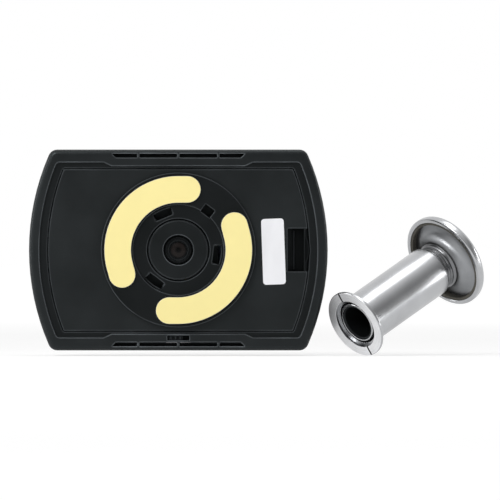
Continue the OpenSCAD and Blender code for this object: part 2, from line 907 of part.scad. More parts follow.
module switch_knob() color([0.06, 0.06, 0.07])
    translate([-switch_travel / 2, 0, switch_z]) {
        slab(band_in_y + seat_gap, band_in_y + seat_gap + switch_foot_thick)
            square([switch_window_w + switch_travel + 1, switch_window_h + 0.8], center = true);
        slab(rim_y + 0.9, band_in_y + 2 * seat_gap)
            square([switch_knob_w, switch_window_h - 2 * slide_gap], center = true);
        for (i = [-1 : 1])
            translate([i * switch_knob_w / 3, 0, 0])
                slab(rim_y + 0.4, rim_y + 1)
                    square([rib_w, switch_window_h - 2 * slide_gap], center = true);
    }

// Places a piece of the barrel, drawn along Z from the collar's face, where the barrel stands
module in_barrel() {
    translate([barrel_x, 0, barrel_z])
        rotate([0, 90 - barrel_rise, barrel_heading])
            children();
}

module barrel_sleeve() color([0.8, 0.8, 0.82])
    in_barrel()
        difference() {
            rotate_extrude()
                polygon(concat(
                    [[sleeve_seat_r, 0], [collar_r - edge_break, 0], [collar_r, edge_break]],
                    [[collar_r, collar_thick - edge_break], [collar_r - edge_break, collar_thick]],
                    arc(sleeve_r + collar_fillet, collar_thick + collar_fillet, collar_fillet, 270, 180, 8),
                    [[sleeve_r, sleeve_l - edge_break], [sleeve_r - edge_break, sleeve_l]],
                    [[sleeve_bore_r, sleeve_l], [sleeve_bore_r, sleeve_seat_d]],
                    [[sleeve_seat_r, sleeve_seat_d]]
                ));
            rotate([0, 0, collar_slot_angle])
                translate([-collar_r - cut, -collar_slot_w / 2, -cut])
                    cube([2 * (collar_r + cut), collar_slot_w, collar_slot_d + cut]);
        }

// Rings of the thread, as radius and height, from the plain end to the hub
function thread_rings() =
    let (
        from = tube_end_z + tube_plain_l + thread_depth,
        count = floor((thread_end_z - from) / thread_pitch),
        start = thread_end_z - count * thread_pitch
    )
    [for (i = [0 : count - 1])
        each [
            [thread_r, start + i * thread_pitch],
            [thread_r, start + (i + 0.35) * thread_pitch],
            [thread_r - thread_depth, start + (i + 0.6) * thread_pitch],
            [thread_r - thread_depth, start + (i + 0.75) * thread_pitch]
        ]];

module barrel_head() color([0.8, 0.8, 0.82])
    in_barrel()
        rotate_extrude()
            polygon(concat(
                [[bore_r, tube_end_z], [tube_plain_r - 0.2, tube_end_z], [tube_plain_r, tube_end_z + 0.2]],
                [[tube_plain_r, tube_end_z + tube_plain_l]],
                thread_rings(),
                [[hub_flare_r, thread_end_z]],
                flange_dish(),
                flange_rim(),
                flange_front(),
                [[lens_seat_r, flange_front_z], [lens_seat_r, lens_seat_z], [bore_r, lens_seat_z]]
            ));

// Hollow flare from the hub out to the floor of the recess
dish_steps = 8;
function flange_dish() =
    let (floor_z = flange_z + recess_depth)
    concat(
        [for (i = [1 : dish_steps])
            let (a = 90 * i / dish_steps)
            [gasket_in_r - (gasket_in_r - hub_flare_r) * cos(a),
                thread_end_z + (floor_z - thread_end_z) * sin(a)]],
        [[recess_r, floor_z]]
    );

// Wall of the recess, flat rim and round outer edge
rim_round = 0.7;
function flange_rim() =
    concat(
        [[recess_r, flange_z]],
        arc(flange_r - rim_round, flange_z + rim_round, rim_round, 270, 360, 5)
    );

// Rounded shoulder and shallow dome
shoulder = 2;
function flange_front() =
    concat(
        arc(flange_r - shoulder, flange_z + flange_thick - shoulder, shoulder, 0, 75, 6),
        [for (i = [1 : 6])
            let (
                top = flange_z + flange_thick - shoulder * (1 - sin(75)),
                edge = flange_r - shoulder * (1 - cos(75)),
                t = i / 6
            )
            [edge + (lens_seat_r + 1.2 - edge) * t, top + (flange_front_z - top) * (1 - pow(1 - t, 2))]]
    );

module flange_gasket() color([0.22, 0.21, 0.2])
    in_barrel()
        translate([0, 0, flange_z + recess_depth - gasket_d])
            difference() {
                cylinder(h = gasket_d, r = recess_r);
                translate([0, 0, -cut])
                    cylinder(h = gasket_d + 2 * cut, r = gasket_in_r);
            }

module light_baffle() color([0.03, 0.03, 0.03])
    in_barrel()
        translate([0, 0, tube_end_z + 0.4])
            difference() {
                cylinder(h = lens_seat_z - tube_end_z - 0.4, r = bore_r - run_gap);
                translate([0, 0, -cut])
                    cylinder(h = lens_seat_z + 2 * cut, r = baffle_in_r);
            }

// Round lens along the barrel, bulging inside a flat rim
module barrel_lens(z, thick, r, rim, bulge) {
    translate([0, 0, z])
        rotate_extrude()
            polygon(concat(
                [[0, 0], [r, 0], [r, thick]],
                [for (i = [0 : 6])
                    let (t = 1 - i / 6)
                    [(r - rim) * t, thick + bulge * (1 - t * t)]]
            ));
}

module objective_lens() color([0.6, 0.65, 0.75, 0.5])
    in_barrel()
        barrel_lens(lens_seat_z, objective_thick, lens_seat_r - run_gap, ring_wall + 0.1, 1.2);

module objective_ring() color([0.75, 0.75, 0.77])
    in_barrel()
        rotate_extrude()
            polygon([
                [lens_seat_r - ring_wall, lens_seat_z + objective_thick],
                [lens_seat_r - run_gap, lens_seat_z + objective_thick],
                [lens_seat_r - run_gap, flange_front_z],
                [lens_seat_r - ring_wall / 2, flange_front_z],
                [lens_seat_r - ring_wall, flange_front_z - ring_wall / 2]
            ]);

module relay_lens() color([0.6, 0.65, 0.75, 0.5])
    in_barrel()
        barrel_lens(flange_z - 14, 2.4, barrel_lens_r, edge_break, 0.8);

module eye_lens() color([0.6, 0.65, 0.75, 0.5])
    in_barrel()
        barrel_lens(tube_end_z + 12, 2.4, barrel_lens_r, edge_break, 0.8);

rear_shell();
front_shell();
screen_window();
screen_gasket();
lcd_panel();
main_board();
for (i = [1 : 4])
    chip(i);
tact_switch();
switch_body();
board_connector();
camera_housing();
camera_board();
image_sensor();
lens_holder();
lens_barrel();
lens_front();
lens_rear();
for (i = [1 : 4])
    battery_cell(i);
for (i = [1 : 4])
    flat_contact(i);
for (i = [1 : 4])
    sprung_contact(i);
housing_screws();
back_cover();
label_sticker();
cover_latch();
mount_plate();
pad(0);  // pad_upper
pad(180);  // pad_lower
liner(0);  // liner_upper
liner(180);  // liner_lower
view_button();
switch_knob();
barrel_sleeve();
barrel_head();
flange_gasket();
light_baffle();
objective_lens();
objective_ring();
relay_lens();
eye_lens();
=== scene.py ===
"""Looks of a peephole door camera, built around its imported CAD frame."""

import json
import math

import bmesh
import bpy
from mathutils import Matrix, Vector

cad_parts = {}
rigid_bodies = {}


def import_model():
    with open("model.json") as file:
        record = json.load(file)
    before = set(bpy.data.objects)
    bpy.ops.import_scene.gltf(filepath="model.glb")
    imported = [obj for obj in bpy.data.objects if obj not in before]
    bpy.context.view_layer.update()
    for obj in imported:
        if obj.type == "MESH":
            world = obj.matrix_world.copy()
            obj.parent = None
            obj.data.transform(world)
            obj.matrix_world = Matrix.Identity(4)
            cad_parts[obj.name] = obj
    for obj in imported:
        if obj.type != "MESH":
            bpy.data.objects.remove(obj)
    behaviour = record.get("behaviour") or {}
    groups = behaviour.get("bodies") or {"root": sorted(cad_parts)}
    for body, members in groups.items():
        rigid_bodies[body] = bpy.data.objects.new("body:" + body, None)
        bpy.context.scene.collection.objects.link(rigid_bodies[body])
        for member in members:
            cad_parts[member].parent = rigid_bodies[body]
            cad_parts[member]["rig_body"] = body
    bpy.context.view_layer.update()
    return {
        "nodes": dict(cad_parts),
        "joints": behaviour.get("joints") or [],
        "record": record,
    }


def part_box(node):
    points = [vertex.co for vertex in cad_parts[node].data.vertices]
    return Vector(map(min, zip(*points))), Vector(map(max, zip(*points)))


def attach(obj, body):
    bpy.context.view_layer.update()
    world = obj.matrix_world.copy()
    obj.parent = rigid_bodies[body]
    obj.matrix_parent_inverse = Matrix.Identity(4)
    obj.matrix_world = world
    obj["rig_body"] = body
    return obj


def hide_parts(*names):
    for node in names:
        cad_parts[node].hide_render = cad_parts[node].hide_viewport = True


MM = 0.001

# Camera: the photograph's width in metres at the door plate, and where its middle lies
PHOTO_WIDTH = 0.1873
PHOTO_MIDDLE_X = 0.02686
CAMERA_DISTANCE = 4.0
CAMERA_REACH = 60.0
SENSOR = 36.0

# Stage
FLOOR_Z = -0.0396
FLOOR_SIZE = 40.0

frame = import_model()
nodes = frame["nodes"]
slots = {row["node"]: row["material_slot"] for row in frame["record"]["subparts"]}
scene = bpy.context.scene


# Node helpers

# Openness of the solid side at which an edge starts to count as worn and to be painted lighter as a
# highlight, and at which it does fully
EDGE_OPEN, EDGE_WORN_AND_LIT = 0.97, 0.7


class Nodes:
    """A node tree under construction."""

    def __init__(self, tree):
        self.tree = tree

    def add(self, kind, inputs=None, **settings):
        node = self.tree.nodes.new(kind)
        for key, value in settings.items():
            setattr(node, key, value)
        for key, value in (inputs or {}).items():
            self.put(node, key, value)
        return node

    def put(self, node, key, value):
        """Links a socket, or sets a constant on the node's own socket."""
        if isinstance(value, bpy.types.NodeSocket):
            self.tree.links.new(value, node.inputs[key])
        else:
            node.inputs[key].default_value = value

    def number(self, operation, *values):
        """Arithmetic on numbers."""
        return self.add("ShaderNodeMath", dict(enumerate(values)), operation=operation).outputs["Value"]

    def vector(self, operation, *values):
        """Arithmetic on vectors, which gives a number for a length or a dot product."""
        made = self.add("ShaderNodeVectorMath", dict(enumerate(values)), operation=operation)
        return made.outputs["Value" if operation in ("LENGTH", "DOT_PRODUCT") else "Vector"]

    def spread(self, value, low, high, start=0.3, stop=0.7):
        """Maps start and stop, by default a texture's middle range, to low and high."""
        made = self.add(
            "ShaderNodeMapRange",
            {"Value": value, "From Min": start, "From Max": stop, "To Min": low, "To Max": high},
        )
        return made.outputs["Result"]


class Shader(Nodes):
    """A material under construction, with its Principled shader."""

    def __init__(self, name):
        self.material = bpy.data.materials.new(name)
        self.material.use_nodes = True
        super().__init__(self.material.node_tree)
        self.surface = self.tree.nodes["Principled BSDF"]

    def set(self, **values):
        for key, value in values.items():
            self.put(self.surface, key.replace("_", " "), value)

    def coordinates(self, place=None):
        """Coordinates of the part at rest, or along a piece that stands at a place of its own."""
        where = self.add("ShaderNodeTexCoord").outputs["Object"]
        if place is None:
            return where
        inputs = {"Vector": where, "Location": place.translation, "Rotation": place.to_euler()}
        return self.add("ShaderNodeMapping", inputs, vector_type="TEXTURE").outputs["Vector"]

    def noise(self, where, scale, detail=3.0, stretch=None):
        if stretch:
            where = self.add("ShaderNodeMapping", {"Vector": where, "Scale": stretch}).outputs["Vector"]
        made = self.add("ShaderNodeTexNoise", {"Vector": where, "Scale": scale, "Detail": detail})
        return made.outputs["Fac"]

    def blend(self, factor, first, second):
        """Mixes two colours by a texture."""
        made = self.add("ShaderNodeMix", data_type="RGBA")
        self.put(made, 0, factor)
        self.put(made, 6, first)
        self.put(made, 7, second)
        return made.outputs[2]

    def mottled(self, texture, colour, dark, light):
        """The colour, darker and lighter by a texture."""
        return self.blend(self.spread(texture, 0.0, 1.0), tint(colour, dark), tint(colour, light))

    def edges(self, radius):
        """Rounded normal, and a mask that is high on outer edges narrower than the radius, where edges are
        painted lighter as wear and as a painted highlight.
        """
        rounded = self.add("ShaderNodeBevel", {"Radius": radius}, samples=6).outputs["Normal"]
        inner = self.add(
            "ShaderNodeAmbientOcclusion", {"Distance": radius}, samples=8, inside=True, only_local=True
        )
        return rounded, self.spread(inner.outputs["AO"], 0.0, 1.0, EDGE_OPEN, EDGE_WORN_AND_LIT)

    def bump(self, height, strength, distance, normal=None):
        made = self.add("ShaderNodeBump", {"Height": height, "Strength": strength, "Distance": distance})
        if normal is not None:
            self.put(made, "Normal", normal)
        return made.outputs["Normal"]


def grey(level):
    return (level, level, level, 1.0)


def tint(colour, factor):
    """A darker or lighter colour."""
    return tuple(min(c * factor, 1.0) for c in colour[:3]) + (1.0,)


# Materials

# Widths of worn edges, which are also painted lighter as a highlight
PLASTIC_EDGE, RING_EDGE, RUBBER_EDGE = 0.45 * MM, 0.12 * MM, 0.15 * MM
METAL_EDGE, SHEET_EDGE = 0.12 * MM, 0.08 * MM

# Slants from which satin plastic scatters what it reflects, and how rough it then is
GRAZING_START, GRAZING_FULL, GRAZING_ROUGH = 0.62, 0.92, 0.95

# Camera lens, from its middle: where the pupil's painted shade fades into the glass, and the glass into the
# painted shade at its rim
PUPIL_FADE, RIM_FADE = (0.7 * MM, 1.5 * MM), (2.3 * MM, 3.0 * MM)

# Display window: width of its printed border and of that border's blurred edge
VIEW_TRIM, VIEW_BLUR = 3.05 * MM, 0.15 * MM

# Dry cell, from its middle: where its band starts, where its wrap ends, and the blur of both
BAND_AT, WRAP_END, WRAP_BLUR = 14.0 * MM, 21.6 * MM, 0.1 * MM


def moulded_plastic(name, colour, rough, gloss, edge_light=16.0, edge=PLASTIC_EDGE):
    """Satin moulded plastic: spark-eroded grain, hand-worn sheen, and edges painted lighter, partly as wear
    and mostly as a painted highlight.
    """
    s = Shader(name)
    where = s.coordinates()
    broad = s.noise(where, 55.0, 5.0)
    fine = s.noise(where, 2600.0, 2.0)
    normal, worn_and_highlit = s.edges(edge)
    body = s.mottled(broad, colour, 0.6, 1.5)
    # Edge colour: partly wear, mostly a painted highlight
    rubbed_and_highlit = s.mottled(s.noise(where, 90.0, 2.0), colour, edge_light * 0.45, edge_light)
    facing = s.add("ShaderNodeLayerWeight", {"Blend": 0.5}).outputs["Facing"]
    satin = s.spread(broad, rough - 0.05, rough + 0.06)
    s.set(
        Base_Color=s.blend(worn_and_highlit, body, rubbed_and_highlit),
        Roughness=s.spread(facing, satin, GRAZING_ROUGH, GRAZING_START, GRAZING_FULL),
        Specular_IOR_Level=gloss,
        Specular_Tint=(0.86, 0.97, 1.0, 1.0),
        Normal=s.bump(fine, 0.22, 0.03 * MM, normal),
    )
    return s.material


def barrel_place():
    """Frame of the viewer barrel: Z along it from the collar's face."""
    turn = next(j for j in frame["joints"] if j["name"] == "sleeve_turn")
    axis = -Vector(turn["axis"]).normalized()
    rise = math.asin(axis.z)
    heading = math.atan2(axis.y, axis.x)
    turned = Matrix.Rotation(heading, 4, "Z") @ Matrix.Rotation(math.pi / 2 - rise, 4, "Y")
    return Matrix.Translation(Vector(turn["pos_m"])) @ turned


BARREL = barrel_place()


def polished_metal(name, colour, rough):
    """Plated metal: faint draw lines round the turned piece and slow waves in the plating."""
    s = Shader(name)
    where = s.coordinates(BARREL)
    lines = s.noise(where, 400.0, 4.0, (0.05, 0.05, 9.0))
    waves = s.noise(where, 120.0, 2.0)
    normal, worn_and_highlit = s.edges(METAL_EDGE)
    s.set(
        # Edges painted lighter: wear and a painted highlight
        Base_Color=s.blend(worn_and_highlit, s.mottled(waves, colour, 0.95, 1.04), tint(colour, 1.12)),
        Metallic=1.0,
        Roughness=s.spread(lines, rough * 0.97, rough * 1.04),
        Normal=s.bump(waves, 0.012, 0.6 * MM, normal),
    )
    return s.material


def turned_metal(name, colour, rough, metal, stretch=0.0):
    """Plated face with the fine rings that the lathe left, which stretch its reflections."""
    s = Shader(name)
    axis = BARREL.to_3x3() @ Vector((0.0, 0.0, 1.0))
    ring = s.vector("CROSS_PRODUCT", axis, s.vector("SUBTRACT", s.coordinates(), BARREL.translation))
    along = s.add(
        "ShaderNodeVectorTransform", {"Vector": ring}, convert_from="OBJECT", convert_to="WORLD"
    ).outputs["Vector"]
    where = s.coordinates(BARREL)
    radius = s.vector("LENGTH", s.vector("MULTIPLY", where, (1.0, 1.0, 0.0)))
    rings = s.add(
        "ShaderNodeTexNoise", {"W": radius, "Scale": 6000.0, "Detail": 3.0}, noise_dimensions="1D"
    ).outputs["Fac"]
    normal, worn_and_highlit = s.edges(METAL_EDGE)
    body = s.mottled(s.noise(where, 150.0, 3.0), colour, 0.92, 1.05)
    s.set(
        # Edges painted lighter: wear and a painted highlight
        Base_Color=s.blend(worn_and_highlit, body, tint(colour, 1.12)),
        Metallic=metal,
        Roughness=s.spread(rings, rough * 0.8, rough * 1.25),
        Anisotropic=stretch,
        Tangent=along,
        Normal=s.bump(rings, 0.06, 0.02 * MM, normal),
    )
    return s.material


def steel_sheet(name, colour, rough):
    """Stamped plated steel with fine straight scratches."""
    s = Shader(name)
    scratches = s.noise(s.coordinates(), 900.0, 4.0, (0.2, 1.0, 12.0))
    normal, worn_and_highlit = s.edges(SHEET_EDGE)
    s.set(
        # Edges painted lighter: wear and a painted highlight
        Base_Color=s.blend(worn_and_highlit, s.mottled(scratches, colour, 0.86, 1.06), tint(colour, 1.15)),
        Metallic=1.0,
        Roughness=s.spread(scratches, rough * 0.8, rough * 1.3),
        Normal=s.bump(scratches, 0.1, 0.02 * MM, normal),
    )
    return s.material


def waxed_paper(name, colour):
    """Release paper: a faint cloud of fibres under wax."""
    s = Shader(name)
    where = s.coordinates()
    cloud = s.noise(where, 160.0, 6.0)
    fibre = s.noise(where, 1500.0, 4.0, (1.0, 1.0, 0.35))
    s.set(
        Base_Color=s.mottled(cloud, colour, 0.985, 1.01),
        Roughness=s.spread(fibre, 0.48, 0.62),
        Specular_IOR_Level=0.3,
        Normal=s.bump(fibre, 0.12, 0.015 * MM),
    )
    return s.material


def closed_foam(name, colour):
    """Closed-cell foam with open cells on its cut edges."""
    s = Shader(name)
    where = s.coordinates()
    cells = s.add("ShaderNodeTexVoronoi", {"Vector": where, "Scale": 3800.0}).outputs["Distance"]
    s.set(
        Base_Color=s.mottled(s.noise(where, 220.0, 3.0), colour, 0.88, 1.04),
        Roughness=s.spread(cells, 0.75, 0.95, 0.0, 0.8),
        Specular_IOR_Level=0.2,
        Normal=s.bump(cells, 0.4, 0.05 * MM),
    )
    return s.material


def vinyl(name, colour):
    """Printed-label vinyl, left blank: a slight orange peel and faint handling marks."""
    s = Shader(name)
    where = s.coordinates()
    peel = s.noise(where, 900.0, 2.0)
    marks = s.noise(where, 240.0, 5.0, (1.0, 1.0, 0.3))
    s.set(
        Base_Color=s.mottled(marks, colour, 0.965, 1.015),
        Roughness=s.spread(marks, 0.3, 0.42),
        Specular_IOR_Level=0.35,
        Normal=s.bump(peel, 0.06, 0.02 * MM),
    )
    return s.material


def soft_rubber(name, colour):
    """Moulded rubber with a dusty bloom."""
    s = Shader(name)
    where = s.coordinates()
    bloom = s.noise(where, 320.0, 5.0)
    grain = s.noise(where, 2400.0, 2.0)
    normal, worn_and_highlit = s.edges(RUBBER_EDGE)
    s.set(
        # Edges painted lighter: wear and a painted highlight
        Base_Color=s.blend(worn_and_highlit, s.mottled(bloom, colour, 0.8, 1.3), tint(colour, 1.6)),
        Roughness=s.spread(bloom, 0.55, 0.75),
        Specular_IOR_Level=0.3,
        Normal=s.bump(grain, 0.2, 0.03 * MM, normal),
    )
    return s.material


def coated_glass(name, centre, rim, clear, gloss, coat):
    """Lens glass with a coating whose colour turns towards the rim of the reflection."""
    s = Shader(name)
    dust = s.noise(s.coordinates(), 1200.0, 4.0)
    facing = s.add("ShaderNodeLayerWeight", {"Blend": 0.35}).outputs["Facing"]
    s.set(
        Base_Color=s.blend(facing, centre, rim),
        Roughness=s.spread(dust, 0.015, 0.05),
        Specular_IOR_Level=gloss,
        Transmission_Weight=clear,
        IOR=1.52,
        Coat_Weight=coat,
        Coat_Roughness=0.02,
        Coat_Tint=(0.75, 0.6, 1.0, 1.0),
    )
    return s.material


def camera_lens(name, pupil_shade, glass, rim):
    """Camera lens from its front: a dark pupil and a dark rim painted as shade, round the dim brownish glass
    of its elements, under a soft coating.
    """
    s = Shader(name)
    where = s.coordinates()
    radius = s.vector("LENGTH", s.vector("MULTIPLY", where, (1.0, 0.0, 1.0)))
    # Pupil and rim: painted shade round the glass's own brownish tone
    inner = s.blend(s.spread(radius, 0.0, 1.0, *PUPIL_FADE), pupil_shade, glass)
    s.set(
        Base_Color=s.blend(s.spread(radius, 0.0, 1.0, *RIM_FADE), inner, rim),
        Roughness=s.spread(s.noise(where, 1200.0, 4.0), 0.24, 0.32),
        Specular_IOR_Level=0.1,
        Coat_Weight=0.03,
        Coat_Roughness=0.12,
    )
    return s.material


def screen_glass(name, node):
    """Tinted window: black printed border round a slightly lighter clear area."""
    s = Shader(name)
    where = s.coordinates()
    smear = s.noise(where, 90.0, 5.0, (1.0, 1.0, 2.2))
    split = s.add("ShaderNodeSeparateXYZ", {"Vector": where}).outputs
    low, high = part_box(node)
    clear = []
    for axis in "xz":
        middle = (getattr(low, axis) + getattr(high, axis)) / 2
        half = (getattr(high, axis) - getattr(low, axis)) / 2 - VIEW_TRIM
        off = s.number("ABSOLUTE", s.number("SUBTRACT", split[axis.upper()], middle))
        clear.append(s.spread(off, 1.0, 0.0, half, half + VIEW_BLUR))
    s.set(
        Base_Color=s.blend(s.number("MINIMUM", *clear), grey(0.003), (0.012, 0.014, 0.018, 1.0)),
        Roughness=s.spread(smear, 0.04, 0.12),
        Specular_IOR_Level=0.4,
        Coat_Weight=0.15,
        Coat_Roughness=0.03,
    )
    return s.material


def solder_mask(name, colour):
    """Circuit board: traces and pads under and through the mask."""
    s = Shader(name)
    where = s.coordinates()
    tracks = s.add(
        "ShaderNodeTexBrick",
        {"Vector": where, "Scale": 260.0, "Mortar Size": 0.012, "Color1": grey(0.0), "Color2": grey(0.25),
         "Mortar": grey(1.0)},
    ).outputs["Color"]
    cloud = s.noise(where, 400.0, 3.0)
    body = s.blend(tracks, colour, tint(colour, 1.9))
    s.set(
        Base_Color=s.blend(s.spread(cloud, 0.0, 0.35), body, tint(colour, 0.6)),
        Roughness=s.spread(cloud, 0.28, 0.42),
        Specular_IOR_Level=0.5,
        Normal=s.bump(tracks, 0.3, 0.03 * MM),
    )
    return s.material


def display_glass(name, colour):
    """Display: a fine cell grid under glass."""
    s = Shader(name)
    where = s.coordinates()
    grid = s.add("ShaderNodeTexChecker", {"Vector": where, "Scale": 9000.0}).outputs["Fac"]
    s.set(
        Base_Color=s.blend(grid, tint(colour, 0.9), tint(colour, 1.1)),
        Roughness=s.spread(s.noise(where, 60.0, 2.0), 0.12, 0.2),
        Specular_IOR_Level=0.5,
    )
    return s.material


def cell_wrap(name, body, band):
    """Shrink wrap of a dry cell: plain body with one band, bare metal at both ends."""
    s = Shader(name)
    where = s.coordinates()
    far = s.number("ABSOLUTE", s.add("ShaderNodeSeparateXYZ", {"Vector": where}).outputs["Z"])
    banded = s.spread(far, 0.0, 1.0, BAND_AT, BAND_AT + WRAP_BLUR)
    bare = s.spread(far, 0.0, 1.0, WRAP_END, WRAP_END + WRAP_BLUR)
    scuff = s.noise(where, 500.0, 5.0, (1.0, 1.0, 0.2))
    s.set(
        Base_Color=s.blend(bare, s.blend(banded, body, band), (0.62, 0.62, 0.63, 1.0)),
        Metallic=s.spread(bare, 0.25, 1.0, 0.0, 1.0),
        Roughness=s.spread(scuff, 0.24, 0.38),
        Normal=s.bump(scuff, 0.05, 0.03 * MM),
    )
    return s.material


BLACK = (0.0058, 0.0064, 0.0069, 1.0)
YELLOW = (0.97, 0.85, 0.375, 1.0)
# Lens colours: the pupil and the rim are painted shade, the middle is the glass's tone
PUPIL_SHADE, LENS_MIDDLE, LENS_RIM_SHADE = grey(0.0004), (0.0125, 0.0098, 0.0092, 1.0), grey(0.001)
GLASS_MIDDLE, GLASS_RIM = (0.62, 0.65, 0.66, 1.0), (0.5, 0.48, 0.6, 1.0)

MATERIALS = {
    "black_abs": moulded_plastic("satin_black", BLACK, 0.36, 0.29),
    "shell_abs": moulded_plastic("satin_black_shell", BLACK, 0.36, 0.29, edge_light=30.0),
    "plate_abs": moulded_plastic("satin_black_plate", tint(BLACK, 0.6), 0.40, 0.165, edge_light=26.0),
    # Ledge: the shell's black painted darker, as shade under the band's step
    "ledge_shade_abs": moulded_plastic("satin_black_ledge_painted_shade", tint(BLACK, 0.45), 0.45, 0.2, edge_light=24.0),
    # Latch: darker and duller than the shell, as painted shade in the finger notch
    "latch_shade_abs": moulded_plastic("satin_black_latch_painted_shade", tint(BLACK, 0.3), 0.5, 0.07),
    "boss_abs": moulded_plastic("satin_black_boss", tint(BLACK, 0.75), 0.34, 0.22, edge_light=34.0),
    "dull_black": moulded_plastic("flat_black", tint(BLACK, 0.35), 0.6, 0.12),
    "dark_button": moulded_plastic("button_black", tint(BLACK, 1.8), 0.32, 0.5),
    "tinted_window": screen_glass("tinted_window", "screen_window"),
    "display": display_glass("display", (0.045, 0.05, 0.065, 1.0)),
    "foam": closed_foam("pad_foam", (0.78, 0.77, 0.73, 1.0)),
    "dark_foam": closed_foam("gasket_foam", (0.03, 0.03, 0.03, 1.0)),
    "release_paper": waxed_paper("release_paper", YELLOW),
    "sticker": vinyl("label_vinyl", (0.91, 0.915, 0.945, 1.0)),
    "board": solder_mask("solder_mask", (0.012, 0.12, 0.045, 1.0)),
    "chip_black": moulded_plastic("chip_resin", grey(0.018), 0.5, 0.3),
    "ivory_plastic": moulded_plastic("ivory_plastic", (0.74, 0.70, 0.56, 1.0), 0.4, 0.4, edge_light=1.1),
    "switch_metal": steel_sheet("switch_can", (0.56, 0.56, 0.57, 1.0), 0.28),
    "contact_steel": steel_sheet("nickel_plate", (0.66, 0.65, 0.63, 1.0), 0.22),
    "cell_can": cell_wrap("cell_wrap", (0.10, 0.13, 0.17, 1.0), (0.42, 0.45, 0.48, 1.0)),
    "lens_glass": camera_lens("lens_coating_painted_pupil", PUPIL_SHADE, LENS_MIDDLE, LENS_RIM_SHADE),
    "lens_black": moulded_plastic(
        "lens_black", tint(BLACK, 0.2), 0.6, 0.045, edge_light=40.0, edge=RING_EDGE
    ),
    "clear_glass": coated_glass("clear_glass", GLASS_MIDDLE, GLASS_RIM, clear=0.92, gloss=0.5, coat=0.12),
    "chrome": polished_metal("chrome", (0.47, 0.477, 0.49, 1.0), 0.23),
    "chrome_collar": turned_metal("chrome_collar", (0.74, 0.745, 0.76, 1.0), 0.34, metal=0.6),
    "chrome_dish": turned_metal("chrome_dish", (0.3, 0.308, 0.32, 1.0), 0.36, metal=1.0, stretch=0.85),
    # Thread: the plating painted darker, as shade at the sleeve's end
    "chrome_thread_painted_shade": polished_metal("chrome_thread_painted_shade", (0.2, 0.203, 0.21, 1.0), 0.3),
    # Slot walls: the plating painted near black, as shade inside the slot
    "slot_shade": polished_metal("chrome_slot_painted_shade", (0.06, 0.06, 0.062, 1.0), 0.4),
    "seal_rubber": soft_rubber("seal_rubber", (0.075, 0.07, 0.058, 1.0)),
}

# Nodes that take another finish than their slot's name says
SPECIAL = {
    "rear_shell": "shell_abs",
    "mount_plate": "plate_abs",
    "camera_housing": "boss_abs",
    "cover_latch": "latch_shade_abs",
    "lens_holder": "dull_black",
    "lens_barrel": "lens_black",
    "light_baffle": "dull_black",
    "switch_knob": "dull_black",
    "screen_gasket": "dark_foam",
    "objective_lens": "clear_glass",
    "relay_lens": "clear_glass",
    "eye_lens": "clear_glass",
}


def finish_of(node):
    """The material that a node takes."""
    return MATERIALS[SPECIAL.get(node, slots[node])]


def paint(piece, material):
    """Puts a material on each slot of an object, without a change to a mesh that others share."""
    if not piece.data.materials:
        piece.data.materials.append(material)
    for place in piece.material_slots:
        place.link = "OBJECT"
        place.material = material


for name, piece in nodes.items():
    paint(piece, finish_of(name))


# Pieces built here

# Angles at which an edge counts as sharp, on moulded, turned and foam pieces, and what counts as one point
# or one plane
MOULDED_SHARP, TURNED_SHARP, FOAM_SHARP = math.radians(32), math.radians(40), math.radians(50)
WELD, FLAT = 1e-6, 0.01


def new_piece(name, mesh, material, body, stands_for):
    """An object that takes a CAD node's place. One made without a body is put on its body later."""
    piece = bpy.data.objects.new(name, mesh)
    scene.collection.objects.link(piece)
    paint(piece, material)
    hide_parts(stands_for)
    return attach(piece, body) if body else piece


def mark_sharp(work, angle):
    """Smooth shading that breaks at edges sharper than the angle."""
    for face in work.faces:
        face.smooth = True
    for edge in work.edges:
        edge.smooth = edge.calc_face_angle(0.0) < angle


def close(work, name):
    """Turns mesh work into a mesh."""
    mesh = bpy.data.meshes.new(name)
    work.to_mesh(mesh)
    work.free()
    return mesh


def dressed(node, name, width, shaded_depths=None):
    """A copy of a CAD node with its moulded edges really rounded; front faces between two given depths can
    take a darker material, as painted shade.
    """
    source = nodes[node]
    work = bmesh.new()
    work.from_mesh(source.data)
    bmesh.ops.remove_doubles(work, verts=work.verts, dist=WELD)
    bmesh.ops.dissolve_limit(work, angle_limit=FLAT, verts=work.verts, edges=work.edges)
    mark_sharp(work, MOULDED_SHARP)
    # Front faces on the ledge take the darker material: painted shade
    if shaded_depths:
        for face in work.faces:
            depth = face.calc_center_median().y
            face.material_index = int(face.normal.y < -0.5 and shaded_depths[0] < depth < shaded_depths[1])
    piece = new_piece(name, close(work, name), finish_of(node), source["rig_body"], node)
    if shaded_depths:
        piece.data.materials.append(MATERIALS["ledge_shade_abs"])
    bevel = piece.modifiers.new("rounded_edges", "BEVEL")
    bevel.width = width
    bevel.segments = 2
    bevel.limit_method = "ANGLE"
    bevel.angle_limit = MOULDED_SHARP
    bevel.use_clamp_overlap = False
    bevel.loop_slide = False
    bevel.harden_normals = True
    return piece


def arc(cx, cy, r, start, stop, steps):
    """Points on an arc, with angles in degrees."""
    angles = [math.radians(start + (stop - start) * i / steps) for i in range(steps + 1)]
    return [(cx + r * math.cos(a), cy + r * math.sin(a)) for a in angles]


def lathe(profile, segments):
    """Closed turned surface about Z. Each point has its radius, or a function of the turn, and its height."""
    work = bmesh.new()
    rows = []
    for radius, height in profile:
        row = []
        for i in range(segments):
            a = 2 * math.pi * i / segments
            r = radius(a) if callable(radius) else radius
            row.append(work.verts.new((r * math.cos(a) * MM, r * math.sin(a) * MM, height * MM)))
        rows.append(row)
    for low, high in zip(rows, rows[1:] + rows[:1]):
        for i in range(segments):
            j = (i + 1) % segments
            work.faces.new((low[i], low[j], high[j], high[i]))
    bmesh.ops.recalc_face_normals(work, faces=work.faces)
    mark_sharp(work, TURNED_SHARP)
    return work


